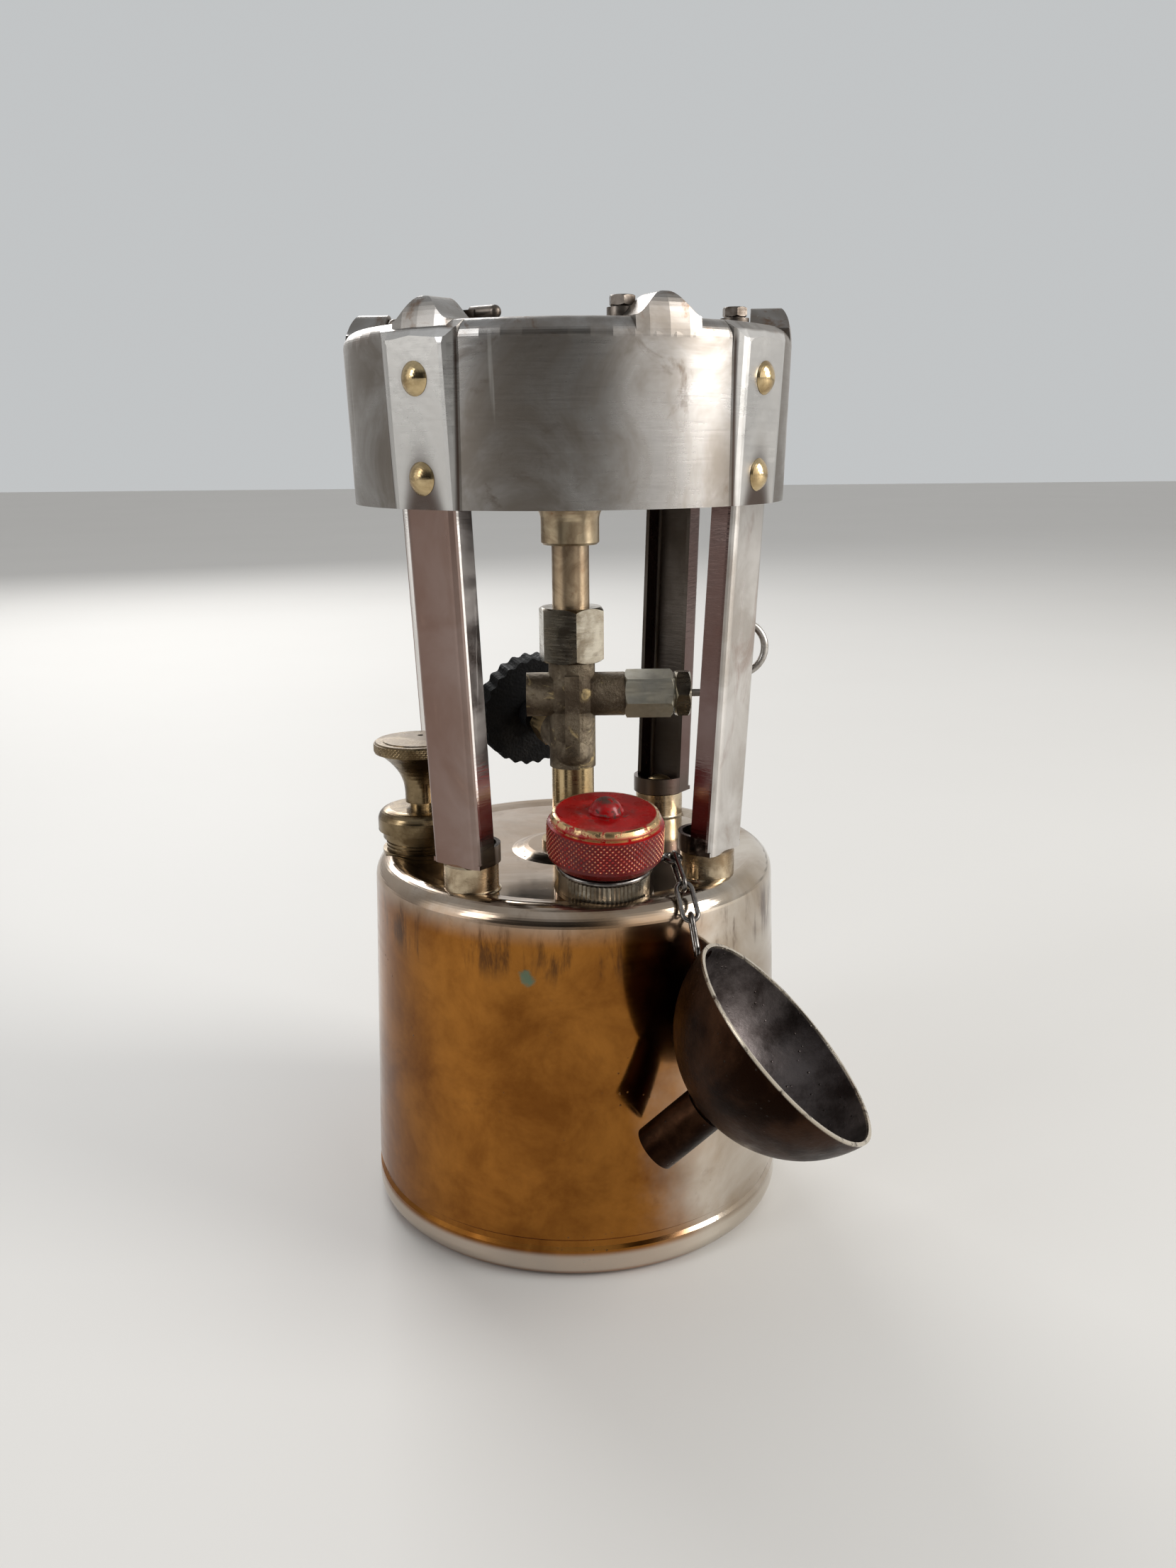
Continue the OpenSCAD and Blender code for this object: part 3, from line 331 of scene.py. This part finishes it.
def leg_plate():
    f = Finish("leg_plate")
    radius, x, y, z = radius_and_height(f)
    facing = outward_facing(f)
    cloud = f.noise(45, 5, 0.6, 0.5)
    color = f.mix(f.span(cloud, 0.35, 0.68), (0.46, 0.42, 0.38), (0.70, 0.67, 0.64))
    # painted dark reflection: the left-hand legs tinted mauve-brown
    color = f.mix(f.span(x, -0.035, 0.02, 0.85, 0.0), color, (0.17, 0.085, 0.062))
    smear = f.span(f.noise(90, 7, 0.7, 1.0, f.stretched((1, 1, 0.4))), 0.54, 0.74, 0.0, 0.55)
    color = f.mix(smear, color, (0.30, 0.20, 0.16))
    # painted shade on the faces turned in towards the stove's axis
    inward_shade = f.span(facing, -0.55, 0.1, 1.0, 0.0)
    color = f.mix(f.math("MULTIPLY", inward_shade, 0.93), color, (0.045, 0.032, 0.022))
    # painted light and shade on the sideways faces: dark on the right-hand ones, a bright highlight on the
    # left-hand ones
    side = f.band(facing, 0.0, 0.35, 0.25)
    right_side_shade = f.math("MULTIPLY", side, f.span(x, -0.01, 0.01, 0.0, 0.85))
    color = f.mix(right_side_shade, color, (0.075, 0.022, 0.017))
    left_side_highlight = f.math("MULTIPLY", side, f.span(x, -0.03, -0.01, 0.9, 0.0))
    color = f.mix(left_side_highlight, color, (0.92, 0.89, 0.86))
    foot = f.span(z, bottom_of("leg_front_left") + 1 * MM, bottom_of("leg_front_left") + 9 * MM, 0.8, 0.0)
    foot = f.math("MULTIPLY", foot, f.span(facing, 0.3, 0.8, 1.0, 0.0))
    color = f.mix(foot, color, (0.10, 0.075, 0.06))
    marks = f.noise(900, 3, 0.7, 0.2, f.stretched((0.12, 0.12, 1)))
    scratch = f.noise(170, 4, 0.6, 0.2, f.stretched((1, 1, 0.05)))
    rough = f.math("ADD", f.span(cloud, 0.35, 0.7, 0.26, 0.10), f.math("MULTIPLY", inward_shade, 0.25))
    rough = f.math("ADD", rough, f.span(scratch, 0.6, 0.7, 0.0, 0.12), True)
    f.bump(f.math("MULTIPLY", marks, f.math("ADD", f.math("ADD", side, inward_shade), 0.08)), 0.5, 0.00012)
    f.bump(f.noise(60, 2, 0.5), 0.08, 0.0008)
    return f.done(color, rough)


def red_enamel():
    f = Finish("red_enamel", metallic=0.0, specular=0.3)
    euler = cap_turned.to_euler()
    local = f.stretched((1, 1, 1), tuple(euler), "TEXTURE", tuple(cap_foot))
    radius, x, y, z = radius_and_height(f, local)
    crest = 20.2 * MM
    tone = f.mix(f.span(f.noise(160, 4, 0.6, 0.3), 0.35, 0.7), (0.20, 0.0008, 0.001), (0.36, 0.002, 0.0025))
    upper = f.span(z, crest - 3.5 * MM, crest - 2.2 * MM)
    edge = f.math("MULTIPLY", f.band(radius, CAP_R - 1.3 * MM, 0.35 * MM, 0.45 * MM), upper)
    chips = f.math("MULTIPLY", edge, f.span(f.noise(340, 7, 0.72, 0.5), 0.40, 0.48))
    rubbed = f.span(f.noise(260, 5, 0.7), 0.36, 0.52, 0.0, 0.9)
    tips = f.math("MULTIPLY", f.span(radius, CAP_R + 0.10 * MM, CAP_R + 0.26 * MM), rubbed)
    bare = f.math("MAXIMUM", chips, tips)
    flaked = f.span(f.noise(620, 6, 0.75, 0.4), 0.53, 0.60)
    near_dome = f.math("MULTIPLY", f.span(radius, 4.4 * MM, 8.5 * MM, 1.0, 0.0), flaked)
    worn = f.span(f.noise(420, 5, 0.7), 0.38, 0.5)
    worn_dome = f.math("MULTIPLY", f.span(z, crest + 2.2 * MM, crest + 3.4 * MM), worn)
    speckled = f.span(f.noise(110, 3, 0.5), 0.55, 0.62)
    specks = f.math("MULTIPLY", f.span(f.cells(300), 0.05, 0.12, 1.0, 0.0), speckled)
    dark = f.math("MAXIMUM", f.math("MAXIMUM", near_dome, worn_dome), specks)
    # painted shade at the bottom of the knurl's cuts
    below = f.span(z, crest - 2.5 * MM, crest - 2.8 * MM)
    grooves = f.math("MULTIPLY", f.span(radius, CAP_R + 0.02 * MM, CAP_R + 0.12 * MM, 0.8, 0.0), below)
    tone = f.mix(grooves, tone, (0.05, 0.002, 0.002))
    color = f.mix(bare, tone, (0.55, 0.38, 0.19))
    color = f.mix(dark, color, (0.055, 0.025, 0.018))
    f.join(f.math("MULTIPLY", bare, 0.95), f.shader.inputs["Metallic"])
    polish = f.span(f.noise(240, 5, 0.6), 0.35, 0.7, 0.22, 0.36)
    rough = f.math("ADD", polish, f.math("MULTIPLY", dark, 0.35), True)
    f.bump(f.math("MULTIPLY", f.math("MAXIMUM", bare, dark), -1.0), 0.5, 0.00012)
    f.bump(f.noise(900, 3, 0.5), 0.06, 0.0001)
    return f.done(color, rough, Coat_Weight=0.05, Coat_Roughness=0.2)


def wheel_black():
    f = Finish("wheel_black", metallic=0.0, specular=0.18)
    crinkle = f.cells(1500, "SMOOTH_F1")
    rub = f.span(f.noise(210, 6, 0.7, 0.5), 0.60, 0.74, 0.0, 0.55)
    color = f.mix(rub, (0.0022, 0.0022, 0.0026), (0.022, 0.019, 0.017))
    color = f.mix(f.span(crinkle, 0.2, 0.5, 0.0, 0.25), color, (0.008, 0.008, 0.008))
    f.bump(crinkle, 0.6, 0.00025)
    f.bump(f.noise(1100, 4, 0.6), 0.4, 0.0002)
    return f.done(color, f.span(f.noise(300, 4, 0.6), 0.3, 0.7, 0.55, 0.78))


def cast_bronze():
    f = Finish("cast_bronze")
    pits = f.noise(950, 7, 0.7, 0.3)
    cloud = f.noise(95, 5, 0.6, 0.6)
    color = f.mix(f.span(cloud, 0.36, 0.64), (0.10, 0.075, 0.052), (0.25, 0.205, 0.145))
    color = f.mix(f.span(pits, 0.50, 0.66, 0.0, 0.7), color, (0.09, 0.07, 0.05))
    gold = f.span(f.noise(140, 4, 0.6, 1.0), 0.60, 0.70, 0.0, 0.7)
    color = f.mix(gold, color, (0.62, 0.48, 0.24))
    f.bump(pits, 0.75, 0.00045)
    f.bump(f.noise(240, 4, 0.6), 0.35, 0.0008)
    return f.done(color, f.span(cloud, 0.3, 0.7, 0.62, 0.40))


def funnel_tin():
    f = Finish("funnel_tin")
    bowl = nodes["funnel_bowl"].data.vertices
    turn, lift = math.radians(82), math.radians(44)
    mouth = Vector((math.sin(turn) * math.cos(lift), -math.cos(turn) * math.cos(lift), math.sin(lift)))
    reach = max(v.co.dot(mouth) for v in bowl)
    rim = [v.co for v in bowl if v.co.dot(mouth) > reach - 0.05 * MM]
    centre = sum(rim, Vector()) / len(rim) + mouth * 3.2 * MM
    from_centre = f.vector("NORMALIZE", f.vector("SUBTRACT", f.place, tuple(centre)))
    facing = f.vector("DOT_PRODUCT", f.coordinate.outputs["Normal"], from_centre)
    inside = f.span(facing, -0.5, 0.1, 1.0, 0.0)
    outer = f.mix(f.span(f.noise(60, 5, 0.6, 0.3), 0.35, 0.66), (0.010, 0.004, 0.002), (0.045, 0.020, 0.010))
    inner = f.mix(f.span(f.noise(70, 6, 0.65, 0.2), 0.35, 0.66), (0.034, 0.026, 0.024), (0.115, 0.098, 0.095))
    color = f.mix(inside, outer, inner)
    pitted = f.span(f.noise(130, 4, 0.6), 0.46, 0.58)
    pits = f.math("MULTIPLY", f.span(f.cells(520), 0.05, 0.17, 1.0, 0.0), pitted)
    color = f.mix(f.math("MULTIPLY", pits, 0.8), color, (0.035, 0.025, 0.02))
    depth = f.vector("DOT_PRODUCT", f.place, tuple(mouth))
    lip = f.span(depth, reach - 0.75 * MM, reach - 0.25 * MM, 0.0, 0.9)
    lip = f.math("MULTIPLY", lip, f.span(f.noise(260, 4, 0.6), 0.30, 0.46))
    color = f.mix(lip, color, (0.70, 0.62, 0.50))
    rough = f.math("SUBTRACT", f.span(f.noise(150, 5, 0.6), 0.3, 0.7, 0.34, 0.52), f.math("MULTIPLY", lip, 0.2))
    f.bump(pits, 0.55, 0.0003)
    f.bump(f.noise(700, 5, 0.65), 0.30, 0.0003)
    return f.done(color, rough)


def sooty_tube(name, light, dark, hot_from, hot_to):
    """Brass that darkens with heat towards the burner."""
    f = Finish(name)
    z = f.parts_of(f.place)[2]
    cloud = f.noise(110, 6, 0.65, 0.7)
    color = f.mix(f.span(cloud, 0.35, 0.66), dark, light)
    smoke = f.span(f.noise(70, 5, 0.6, 0.6), 0.25, 0.6, 0.4, 1.0)
    hot = f.math("MULTIPLY", f.span(z, hot_from, hot_to), smoke)
    color = f.mix(hot, color, (0.12, 0.085, 0.06))
    rust = f.span(f.noise(260, 6, 0.7, 0.5), 0.58, 0.70, 0.0, 0.6)
    color = f.mix(rust, color, (0.24, 0.12, 0.06))
    f.bump(f.noise(700, 5, 0.65), 0.28, 0.0002)
    return f.done(color, f.span(cloud, 0.3, 0.7, 0.50, 0.28))


def oiled_leather():
    f = Finish("oiled_leather", metallic=0.0)
    creases = f.cells(700, "SMOOTH_F1")
    color = f.mix(f.span(f.noise(120, 5, 0.6), 0.35, 0.65), (0.10, 0.045, 0.02), (0.24, 0.12, 0.055))
    f.bump(creases, 0.4, 0.0003)
    return f.done(color, f.span(creases, 0.1, 0.5, 0.6, 0.4))


def gasket_rubber():
    f = Finish("gasket_rubber", metallic=0.0)
    f.bump(f.noise(900, 4, 0.6), 0.3, 0.0002)
    return f.done(f.mix(f.span(f.noise(150, 5, 0.6), 0.35, 0.7), (0.014, 0.013, 0.012), (0.05, 0.047, 0.044)),
                  f.span(f.noise(200, 4, 0.6), 0.3, 0.7, 0.55, 0.75))


shroud_low = bottom_of("shroud_ring")

old_brass = aged_metal("old_brass", (0.56, 0.42, 0.23), (0.32, 0.22, 0.11), (0.20, 0.42))
post_brass = aged_metal("post_brass", (0.56, 0.46, 0.32), (0.24, 0.17, 0.10), (0.14, 0.38), 110, amount=0.6)
rivet_brass = aged_metal("rivet_brass", (0.62, 0.48, 0.27), (0.34, 0.24, 0.12), (0.12, 0.30), 160)
pump_brass = aged_metal("pump_brass", (0.25, 0.185, 0.105), (0.095, 0.062, 0.03), (0.18, 0.38), 120)
nut_plate = aged_metal("nut_plate", (0.36, 0.33, 0.27), (0.19, 0.155, 0.11), (0.16, 0.36), 130, amount=0.45)
gland_plate = aged_metal("gland_plate", (0.86, 0.83, 0.72), (0.62, 0.58, 0.47), (0.30, 0.46), 160, amount=0.4)
grey_steel = aged_metal("grey_steel", (0.50, 0.48, 0.45), (0.27, 0.24, 0.21), (0.24, 0.44), 150)
dark_steel = aged_metal("dark_steel", (0.22, 0.19, 0.165), (0.075, 0.058, 0.045), (0.28, 0.52), 170, amount=0.5)
chain_steel = aged_metal("chain_steel", (0.24, 0.225, 0.21), (0.085, 0.075, 0.068), (0.18, 0.36), 260)
neck_plate = aged_metal("neck_plate", (0.36, 0.33, 0.27), (0.15, 0.12, 0.085), (0.24, 0.46), 150, amount=0.6)
hot_iron = aged_metal("hot_iron", (0.20, 0.165, 0.14), (0.075, 0.055, 0.045), (0.45, 0.70), 150,
                      amount=0.6, grain=0.3)
burner_brass = sooty_tube("burner_brass", (0.52, 0.42, 0.28), (0.30, 0.22, 0.14),
                          shroud_low - 4 * MM, shroud_low + 12 * MM)
tube_brass = sooty_tube("tube_brass", (0.50, 0.38, 0.25), (0.26, 0.18, 0.11),
                        shroud_low - 24 * MM, shroud_low + 6 * MM)

finishes = {
    tank_plate(): ["tank_shell", "tank_bottom"],
    shroud_steel(): ["shroud_ring"],
    leg_plate(): ["leg_front_left", "leg_front_right", "leg_rear_right", "leg_rear_left"],
    red_enamel(): ["filler_cap", "cap_rivet"],
    wheel_black(): ["handwheel"],
    cast_bronze(): ["valve_body"],
    funnel_tin(): ["funnel_bowl", "funnel_spout"],
    oiled_leather(): ["pump_leather"],
    gasket_rubber(): ["cap_gasket"],
    old_brass: ["riser_pipe", "pickup_tube", "pump_rod", "plunger_nut", "check_valve", "packing_nut",
                "valve_spindle", "handwheel_screw", "foot_screws", "burner_screw", "jet"],
    post_brass: ["leg_posts"],
    rivet_brass: ["shroud_rivets"],
    pump_brass: ["pump_barrel", "pump_cap", "pump_knob", "knob_insert"],
    nut_plate: ["union_nut", "cleaner_nut"],
    gland_plate: ["cleaner_gland"],
    grey_steel: ["cleaner_lever", "cleaning_needle", "check_ball"],
    dark_steel: ["arm_screws", "pot_arm_1", "pot_arm_2", "pot_arm_3", "pot_arm_4", "pot_arm_5", "pot_arm_6"],
    chain_steel: ["chain_ring", "chain_link_1", "chain_link_2", "chain_link_3"],
    neck_plate: ["filler_neck"],
    hot_iron: ["burner_cap", "burner_seat", "flat_rings", "wavy_rings"],
    burner_brass: ["burner_bowl"],
    tube_brass: ["vaporizer_tube"],
}
for material, names in finishes.items():
    for name in names:
        slots = nodes[name].data.materials
        slots.clear()
        slots.append(material)


# ---------------------------------------------------------------- knurled bands

def knurled_band(name, radius, low, high, pitch, depth, material, place, body):
    """A thin ring whose outer face is cut with crossed grooves."""
    around = max(24, round(2 * math.pi * radius / pitch))
    steps = around * 6
    rows = max(4, round((high - low) / pitch * 6))
    band = bmesh.new()
    bmesh.ops.create_circle(band, segments=steps, radius=radius)
    edges = band.edges[:]
    rise = Vector((0, 0, (high - low) / rows))
    for _ in range(rows):
        made = bmesh.ops.extrude_edge_only(band, edges=edges)["geom"]
        bmesh.ops.translate(band, vec=rise, verts=[g for g in made if isinstance(g, bmesh.types.BMVert)])
        edges = [g for g in made if isinstance(g, bmesh.types.BMEdge) and
                 abs(g.verts[0].co.z - g.verts[1].co.z) < rise.z / 2]
    for v in band.verts:
        angle = math.atan2(v.co.y, v.co.x) * around
        climb = 2 * math.pi * v.co.z / pitch
        groove = max(abs(math.sin((angle + climb) / 2)), abs(math.sin((angle - climb) / 2)))
        ridge = 1 - min(abs(math.sin((angle + climb) / 2)), abs(math.sin((angle - climb) / 2)))
        fade = min(1.0, v.co.z / (0.5 * MM), (high - low - v.co.z) / (0.4 * MM))
        push = depth * max(0.0, fade) * (0.25 + 0.75 * (1 - groove) * ridge * 2 - 0.25)
        reach = radius + max(0.0, min(push, depth))
        v.co.x, v.co.y = reach * math.cos(angle / around), reach * math.sin(angle / around)
    bmesh.ops.solidify(band, geom=band.faces[:], thickness=0.25 * MM)
    bmesh.ops.recalc_face_normals(band, faces=band.faces[:])
    bmesh.ops.translate(band, vec=(0, 0, low), verts=band.verts[:])
    band.transform(place)
    mesh = bpy.data.meshes.new(name)
    band.to_mesh(mesh)
    band.free()
    mesh.materials.append(material)
    piece = bpy.data.objects.new(name, mesh)
    bpy.context.scene.collection.objects.link(piece)
    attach(piece, body)
    return piece


cap_place = Matrix.Translation(cap_foot) @ cap_turned.to_matrix().to_4x4()
red = nodes["filler_cap"].data.materials[0]
knurled_band("cap_knurl", CAP_R, 9.8 * MM, 17.5 * MM, 1.35 * MM, 0.34 * MM, red, cap_place,
             "cap")
knob_place = Matrix.Translation(Vector((pump_middle.x, pump_middle.y, top_of("pump_knob"))))
knurled_band("knob_knurl", KNOB_R, -2.9 * MM, -0.4 * MM, 1.1 * MM, 0.22 * MM, pump_brass, knob_place,
             "pump")

# ---------------------------------------------------------------- floor, light and camera

floor_mesh = bpy.data.meshes.new("floor")
sheet = bmesh.new()
bmesh.ops.create_grid(sheet, x_segments=1, y_segments=1, size=6)
sheet.to_mesh(floor_mesh)
sheet.free()
floor = bpy.data.objects.new("floor", floor_mesh)
bpy.context.scene.collection.objects.link(floor)
pale = Finish("pale_floor", metallic=0.0)
floor_mesh.materials.append(pale.done(pale.mix(pale.noise(3), (0.62, 0.605, 0.58), (0.66, 0.645, 0.62)), 0.6))

world = bpy.data.worlds.new("soft_room")
bpy.context.scene.world = world
world.use_nodes = True
sky = world.node_tree
back = sky.nodes["Background"]


def sky_node(kind, **values):
    node = sky.nodes.new(kind)
    for key, value in values.items():
        setattr(node, key, value)
    return node


# soft windows all round: brightness by compass direction, fading towards the zenith;
# each pane is a share of the turn (0.5 is the front) and its brightness
way = sky_node("ShaderNodeTexCoord")
split = sky_node("ShaderNodeSeparateXYZ")
sky.links.new(way.outputs["Generated"], split.inputs[0])
minus = sky_node("ShaderNodeMath", operation="MULTIPLY")
minus.inputs[1].default_value = -1
sky.links.new(split.outputs["Y"], minus.inputs[0])
compass = sky_node("ShaderNodeMath", operation="ARCTAN2")
sky.links.new(split.outputs["X"], compass.inputs[0])
sky.links.new(minus.outputs[0], compass.inputs[1])
share = sky_node("ShaderNodeMapRange")
sky.links.new(compass.outputs[0], share.inputs["Value"])
share.inputs["From Min"].default_value = -math.pi
share.inputs["From Max"].default_value = math.pi
round_room = sky_node("ShaderNodeValToRGB")
ramp = round_room.color_ramp
ramp.interpolation = "EASE"
panes = [(0.0, 0.55), (0.139, 0.35), (0.222, 0.25), (0.264, 0.80), (0.319, 0.80), (0.361, 0.03), (0.533, 0.015),
         (0.562, 0.10), (0.59, 1.0), (0.672, 1.0), (0.708, 0.25), (0.778, 0.45), (0.889, 0.50), (1.0, 0.55)]
while len(ramp.elements) < len(panes):
    ramp.elements.new(0.5)
for mark, (position, level) in zip(ramp.elements, panes):
    mark.position = position
    mark.color = (level, level * 0.985, level * 0.96, 1)
sky.links.new(share.outputs["Result"], round_room.inputs[0])
overhead = sky_node("ShaderNodeMapRange", interpolation_type="SMOOTHSTEP")
sky.links.new(split.outputs["Z"], overhead.inputs["Value"])
overhead.inputs["From Min"].default_value = 0.35
overhead.inputs["From Max"].default_value = 0.85
room = sky_node("ShaderNodeMix", data_type="RGBA")
sky.links.new(overhead.outputs["Result"], room.inputs["Factor"])
sky.links.new(round_room.outputs["Color"], room.inputs[6])
room.inputs[7].default_value = (0.30, 0.31, 0.32, 1)
seen = sky_node("ShaderNodeLightPath")
plain = sky_node("ShaderNodeMix", data_type="RGBA")
sky.links.new(seen.outputs["Is Camera Ray"], plain.inputs["Factor"])
sky.links.new(room.outputs[2], plain.inputs[6])
plain.inputs[7].default_value = (0.36, 0.37, 0.375, 1)
sky.links.new(plain.outputs[2], back.inputs["Color"])
back.inputs["Strength"].default_value = 1.5


def soft_light(name, place, aim, size, power, color):
    lamp = bpy.data.lights.new(name, "AREA")
    lamp.shape = "RECTANGLE"
    lamp.size, lamp.size_y = size
    lamp.energy = power
    lamp.color = color
    holder = bpy.data.objects.new(name, lamp)
    holder.location = place
    holder.rotation_euler = (Vector(aim) - Vector(place)).to_track_quat("-Z", "Y").to_euler()
    bpy.context.scene.collection.objects.link(holder)


soft_light("window", (1.5, -0.45, 0.75), (0, 0, 0.12), (0.7, 1.1), 26, (1, 0.985, 0.96))
soft_light("fill", (-1.4, -0.9, 0.9), (0, 0, 0.12), (0.5, 1.0), 7, (0.96, 0.98, 1))
soft_light("rim", (-0.6, 1.4, 1.0), (0, 0, 0.12), (0.8, 0.8), 14, (1, 1, 1))

yaw, pitch, roll = 0.0115, 0.2508, -0.0092  # radians
forward = Vector((math.sin(yaw) * math.cos(pitch), math.cos(yaw) * math.cos(pitch), -math.sin(pitch)))
right = Vector((math.cos(yaw), -math.sin(yaw), 0))
up = right.cross(forward)
tilted_right = math.cos(roll) * right + math.sin(roll) * up
tilted_up = -math.sin(roll) * right + math.cos(roll) * up
eye = bpy.data.cameras.new("eye")
eye.sensor_fit = "VERTICAL"
eye.sensor_height = 36
eye.lens = 30.74
eye.clip_start = 0.01
camera = bpy.data.objects.new("camera", eye)
turned = Matrix((tilted_right, tilted_up, -forward)).transposed()
camera.matrix_world = Matrix.Translation((0, -0.3535, 0.2056)) @ turned.to_4x4()
bpy.context.scene.collection.objects.link(camera)
bpy.context.scene.camera = camera
bpy.context.scene.view_settings.view_transform = "Standard"
